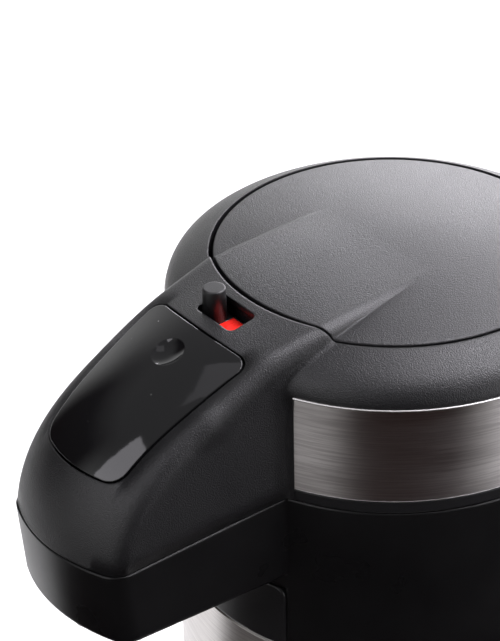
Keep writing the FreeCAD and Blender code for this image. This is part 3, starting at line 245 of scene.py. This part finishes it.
def metal(name, dark, light, gloss, scale):
    """Plain metal with a fine mottled finish."""
    mat, tree, shader = material(name)
    mottle = noise(tree, place(tree), scale, 3)
    feed(tree, shader, Base_Color=tint(tree, spread(tree, mottle, 0, 1), dark, light), Metallic=1.0,
         Roughness=spread(tree, mottle, gloss - 0.06, gloss + 0.06),
         Normal=bump(tree, mottle, 0.00002, rounded(tree, 0.0003)))
    return mat


def elastomer(name, dark, light, gloss, scatter):
    """Silicone or rubber: matt, faintly uneven."""
    mat, tree, shader = material(name)
    where = place(tree)
    uneven = noise(tree, where, 120, 3)
    fine = noise(tree, where, 2200, 2)
    feed(tree, shader, Base_Color=tint(tree, spread(tree, uneven, 0, 1), dark, light),
         Roughness=spread(tree, fine, gloss - 0.06, gloss + 0.06),
         Normal=bump(tree, fine, 0.00002, rounded(tree, 0.0003)),
         Subsurface_Weight=scatter, Subsurface_Scale=0.002)
    return mat


def make_materials():
    charcoal = moulded("charcoal_grain", (0.008, 0.008, 0.009), (0.011, 0.011, 0.012), 0.34, 0.0005, 0.00025,
                       0.0010, shoulders=0.011)
    assign(charcoal, "lid_shell", "push_plate", "handle_grip")
    black = moulded("black_grain", (0.005, 0.005, 0.0055), (0.007, 0.007, 0.0075), 0.30, 0.0004, 0.00003,
                    0.0014, 0.4)
    assign(black, "collar", "turntable", "bottom_cover", "handle_pins", "lock_slide", "lever_hook")
    assign(polished("gloss_black", (0.007, 0.007, 0.0075), 0.05, 0.5), "release_lever")
    assign(moulded("panel_black", (0.011, 0.011, 0.012), (0.014, 0.014, 0.015), 0.3, 0.0004, 0.00002, 0.0009),
           "front_panel")
    assign(polished("label_red", (0.88, 0.024, 0.017), 0.25, 0.2), "lock_label")
    steel = brushed("brushed_steel", (0.72, 0.69, 0.675), (0.87, 0.84, 0.82), 0.31, 0.0007, 0.82)
    assign(steel, "can", "steel_band", "handle_bail")
    assign(brushed("vessel_steel", (0.60, 0.60, 0.59), (0.68, 0.68, 0.67), 0.24, 0.0008, 0.5), "vessel",
           "dip_tube", "tip_ball")
    assign(metal("spring_steel", (0.50, 0.50, 0.50), (0.60, 0.60, 0.60), 0.2, 900), "return_spring",
           "lever_spring")
    assign(metal("zinc", (0.50, 0.51, 0.53), (0.62, 0.62, 0.62), 0.32, 500), "can_bracket", "bottom_screws",
           "pivot_screw", "pivot_washer", "latch_catch", "hinge_pin", "lid_screws", "plate_pins", "lever_pin")
    assign(moulded("grey_plastic", (0.18, 0.18, 0.19), (0.21, 0.21, 0.22), 0.42, 0.0004, 0.00002),
           "neck_ring", "pump_base", "bellows_cap", "nozzle")
    assign(two_tone("underside_grey", (0.18, 0.18, 0.19), (0.010, 0.010, 0.011), 0.0835, 0.36), "lid_underside")
    assign(moulded("white_plastic", (0.72, 0.72, 0.70), (0.77, 0.77, 0.75), 0.4, 0.0004, 0.00002),
           "glides", "outlet_duct")
    assign(elastomer("bellows_plastic", (0.58, 0.58, 0.56), (0.63, 0.63, 0.61), 0.45, 0.3), "bellows")
    assign(elastomer("silicone", (0.68, 0.68, 0.66), (0.73, 0.73, 0.71), 0.55, 0.2), "neck_gasket",
           "mouth_gasket", "air_valve")
    assign(elastomer("rubber_black", (0.018, 0.018, 0.018), (0.024, 0.024, 0.024), 0.7, 0.0), "feet", "cushion")


# Pieces that stand for a CAD node or are added to it

def turned(name, centre, profile, steps=72):
    """A smooth solid turned about a vertical axis, from pairs of radius and height."""
    build = bmesh.new()
    rings = []
    for radius, height in profile:
        angles = [2 * math.pi * i / steps for i in range(steps)]
        rings.append([build.verts.new((centre[0] + radius * math.cos(a), centre[1] + radius * math.sin(a), height))
                      for a in angles])
    for low, high in zip(rings, rings[1:]):
        for i in range(steps):
            j = (i + 1) % steps
            build.faces.new((low[i], low[j], high[j], high[i])).smooth = True
    build.faces.new(list(reversed(rings[0])))
    build.faces.new(rings[-1])
    mesh = bpy.data.meshes.new(name)
    build.to_mesh(mesh)
    build.free()
    piece = bpy.data.objects.new(name, mesh)
    bpy.context.scene.collection.objects.link(piece)
    return piece


KNOB_FORWARD = 0.0006


def make_knob():
    """The lock's knob: slightly tapered, with a crisp rounded rim."""
    low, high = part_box("lock_knob")
    centre = ((low[0] + high[0]) / 2, (low[1] + high[1]) / 2 - KNOB_FORWARD)
    rim = 0.0007
    foot = 0.0046
    head = 0.0044
    profile = [(foot, low[2]), (head, high[2] - rim)]
    for i in range(1, 7):
        turn = math.radians(15 * i)
        profile.append((head - rim + rim * math.cos(turn), high[2] - rim + rim * math.sin(turn)))
    knob = turned("knob", centre, profile)
    satin = moulded("knob_satin", (0.009, 0.009, 0.0095), (0.012, 0.012, 0.0125), 0.38, 0.0004, 0.00004, 0.0002)
    knob.data.materials.append(satin)
    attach(knob, "lock")
    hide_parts("lock_knob")


def make_folding(name, node):
    """A copy of a node, with a mesh of its own, that stands on the pump base and moves with the lid in the node's
    place.
    """
    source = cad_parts[node]
    piece = bpy.data.objects.new(name, source.data.copy())
    bpy.context.scene.collection.objects.link(piece)
    piece.matrix_world = source.matrix_world.copy()
    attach(piece, "lid")
    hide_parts(node)
    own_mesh(piece)


BAND_SKIN = 0.0002
TRIM_SHORTER = 0.006


def make_trim(name, radius, height, thick, steel):
    """A thin round trim that follows the steel band on both sides, at a radius and a height."""
    corners = [vertex.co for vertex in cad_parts["steel_band"].data.vertices]
    reach = max(math.hypot(at.x, at.y) for at in corners)
    turns = [abs(math.atan2(at.x, -at.y)) for at in corners if math.hypot(at.x, at.y) > reach - BAND_SKIN]
    start = min(turns) + TRIM_SHORTER
    end = max(turns) - TRIM_SHORTER
    curve = bpy.data.curves.new(name, "CURVE")
    curve.dimensions = "3D"
    curve.bevel_depth = thick / 2
    curve.bevel_resolution = 3
    curve.use_fill_caps = True
    steps = 90
    for side in (-1, 1):
        line = curve.splines.new("POLY")
        line.points.add(steps)
        for i, point in enumerate(line.points):
            turn = side * (start + (end - start) * i / steps)
            point.co = (radius * math.sin(turn), -radius * math.cos(turn), height, 1)
    trim = bpy.data.objects.new(name, curve)
    bpy.context.scene.collection.objects.link(trim)
    curve.materials.append(steel)
    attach(trim, "lid")


def make_band_trims():
    """The bright lines along the steel band: a bead under the dome's rim, and the band's lower edge."""
    low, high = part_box("steel_band")
    steel = metal("trim_steel", (0.76, 0.75, 0.74), (0.86, 0.85, 0.84), 0.5, 700)
    make_trim("band_bead", 0.0889, high[2] - 0.0003, 0.0008, steel)
    make_trim("band_foot", 0.0874, low[2] + 0.0002, 0.0003, steel)


# Floor, background, flags and lamps

def ray_value(tree, seen, other):
    """seen for rays from the camera and for reflections and views through glass, other for light."""
    path = add(tree, "ShaderNodeLightPath").outputs
    direct = math_node(tree, "MAXIMUM", path["Is Camera Ray"], path["Is Glossy Ray"])
    direct = math_node(tree, "MAXIMUM", direct, path["Is Transmission Ray"])
    return add(tree, "ShaderNodeMix", {0: direct, 2: other, 3: seen}, data_type="FLOAT").outputs[0]


def make_world(ambient, ceiling):
    """White at the horizon, less bright above. The camera sees it white all over."""
    world = bpy.data.worlds.new("world")
    bpy.context.scene.world = world
    world.use_nodes = True
    tree = world.node_tree
    direction = add(tree, "ShaderNodeTexCoord").outputs["Generated"]
    height = add(tree, "ShaderNodeSeparateXYZ", {0: direction}).outputs[2]
    glossy = add(tree, "ShaderNodeLightPath").outputs["Is Glossy Ray"]
    above = spread(tree, height, 0.0, 1.0 - ceiling, 0.25, 0.75, True)
    white = math_node(tree, "SUBTRACT", 1.0, math_node(tree, "MULTIPLY", above, glossy))
    strength = ray_value(tree, white, ambient)
    tree.links.new(strength, tree.nodes["Background"].inputs["Strength"])
    tree.nodes["Background"].inputs["Color"].default_value = (1, 1, 1, 1)


FLOOR_DARK = (0.58, 0.58, 0.58)
FLOOR_LIGHT = (0.60, 0.60, 0.60)
FLOOR_REFLECTED = (0.30, 0.30, 0.30, 1)
REFLECTED_EXTRA = 0.14
WHITE_FROM = 0.7
WHITE_AT = 1.4


def make_floor(own_light):
    """A pale floor, white for the camera far out. Reflections see it darker in colour with more light of its own."""
    bpy.ops.mesh.primitive_plane_add(size=8, location=(0, 0, 0))
    floor = bpy.context.object
    floor.name = "floor"
    mat, tree, shader = material("floor")
    where = place(tree)
    mottle = noise(tree, where, 3, 2)
    path = add(tree, "ShaderNodeLightPath").outputs
    pale = tint(tree, mottle, FLOOR_DARK, FLOOR_LIGHT)
    colour = add(tree, "ShaderNodeMix", {0: path["Is Glossy Ray"], 6: pale, 7: FLOOR_REFLECTED},
                 data_type="RGBA").outputs[2]
    distance = add(tree, "ShaderNodeVectorMath", {0: where}, operation="LENGTH").outputs[1]
    far = spread(tree, distance, own_light, 1.0, WHITE_FROM, WHITE_AT, True)
    seen = add(tree, "ShaderNodeMix", {0: path["Is Camera Ray"], 2: own_light + REFLECTED_EXTRA, 3: far},
               data_type="FLOAT").outputs[0]
    feed(tree, shader, Base_Color=colour, Roughness=0.8, Emission_Color=(1, 1, 1, 1),
         Emission_Strength=ray_value(tree, seen, 0.0))
    floor.data.materials.append(mat)


FLAG_FOOT = 0.002
FLAG_GLOW = (1.0, 0.22, 0.10, 1)
FLAG_GLOW_STRENGTH = 0.008


def make_flag(name, start, end, soft, inner, outer, top):
    """A dark warm card round the pot that only reflections see, between two azimuths, with soft edges."""
    steps = 48
    lower = []
    upper = []
    for i in range(steps + 1):
        angle = math.radians(start - soft + (end - start + 2 * soft) * i / steps)
        out = Vector((math.sin(angle), -math.cos(angle), 0))
        lower.append(out * inner + Vector((0, 0, FLAG_FOOT)))
        upper.append(out * outer + Vector((0, 0, top)))
    mesh = bpy.data.meshes.new(name)
    faces = [(i, i + 1, steps + 2 + i, steps + 1 + i) for i in range(steps)]
    mesh.from_pydata(lower + upper, [], faces)
    card = bpy.data.objects.new(name, mesh)
    bpy.context.scene.collection.objects.link(card)
    mat, tree, shader = material(name)
    shader.inputs["Base Color"].default_value = (0, 0, 0, 1)
    shader.inputs["Specular IOR Level"].default_value = 0
    shader.inputs["Emission Color"].default_value = FLAG_GLOW
    shader.inputs["Emission Strength"].default_value = FLAG_GLOW_STRENGTH
    split = add(tree, "ShaderNodeSeparateXYZ", {0: place(tree, (1, -1, 1))}).outputs
    azimuth = math_node(tree, "ARCTAN2", split[0], split[1])
    first = spread(tree, azimuth, 0, 1, math.radians(start - soft), math.radians(start + soft), True)
    last = spread(tree, azimuth, 1, 0, math.radians(end - soft), math.radians(end + soft), True)
    sides = math_node(tree, "MULTIPLY", first, last)
    fade = spread(tree, split[2], 1, 0, 0.55 * top + FLAG_FOOT, top + FLAG_FOOT, True)
    tree.links.new(math_node(tree, "MULTIPLY", sides, fade), shader.inputs["Alpha"])
    mesh.materials.append(mat)
    card.visible_camera = False
    card.visible_diffuse = False
    card.visible_transmission = False
    card.visible_shadow = False


LAMP_COLOUR = (0.96, 0.935, 1.0)


def softbox(name, azimuth, elevation, distance, size, radiance, aim=(0, 0, 0.3), lean=0.0):
    """A lamp in the direction of an azimuth and elevation from its aim, turned by lean in its own plane."""
    data = bpy.data.lights.new(name, "AREA")
    data.shape = "RECTANGLE"
    data.size, data.size_y = size
    data.energy = radiance * math.pi * size[0] * size[1]
    data.color = LAMP_COLOUR
    lamp = bpy.data.objects.new(name, data)
    bpy.context.scene.collection.objects.link(lamp)
    flat = math.radians(azimuth)
    rise = math.radians(elevation)
    out = Vector((math.sin(flat) * math.cos(rise), -math.cos(flat) * math.cos(rise), math.sin(rise)))
    turn = (-out).to_track_quat("-Z", "Y").to_matrix() @ Matrix.Rotation(math.radians(lean), 3, "Z")
    lamp.location = Vector(aim) + out * distance
    lamp.rotation_euler = turn.to_euler()
    lamp.visible_camera = False


def make_studio():
    """Flags take a start and end azimuth; softboxes an azimuth, elevation, distance, size and radiance."""
    make_world(0.20, 0.30)
    make_floor(0.52)
    make_flag("floor_flag", -40, 140, 8, 0.11, 0.93, 0.002)
    make_flag("front_flag", 26, 88, 9, 0.95, 0.95, 1.90)
    make_flag("left_flag", -81, -28, 10, 1.00, 1.00, 1.50)
    softbox("key", 153, 58, 1.3, (1.00, 0.75), 12.8)
    softbox("rear", -157, 14, 1.5, (1.9, 0.8), 5.2)
    softbox("side", 88, 70, 1.3, (0.6, 0.5), 1.4)
    softbox("right", 108, 3, 1.3, (0.4, 0.5), 4.2)
    softbox("front", 1, 40, 1.2, (0.65, 0.70), 2.9, (0, -0.12, 0.30), -20.7)
    softbox("ceiling", -40, 80, 1.3, (0.45, 0.45), 0.5)
    bpy.context.scene.view_settings.view_transform = "Standard"


make_camera()
make_studio()
make_materials()
make_knob()
make_band_trims()
make_folding("bellows_fold", "bellows")
make_folding("spring_fold", "return_spring")
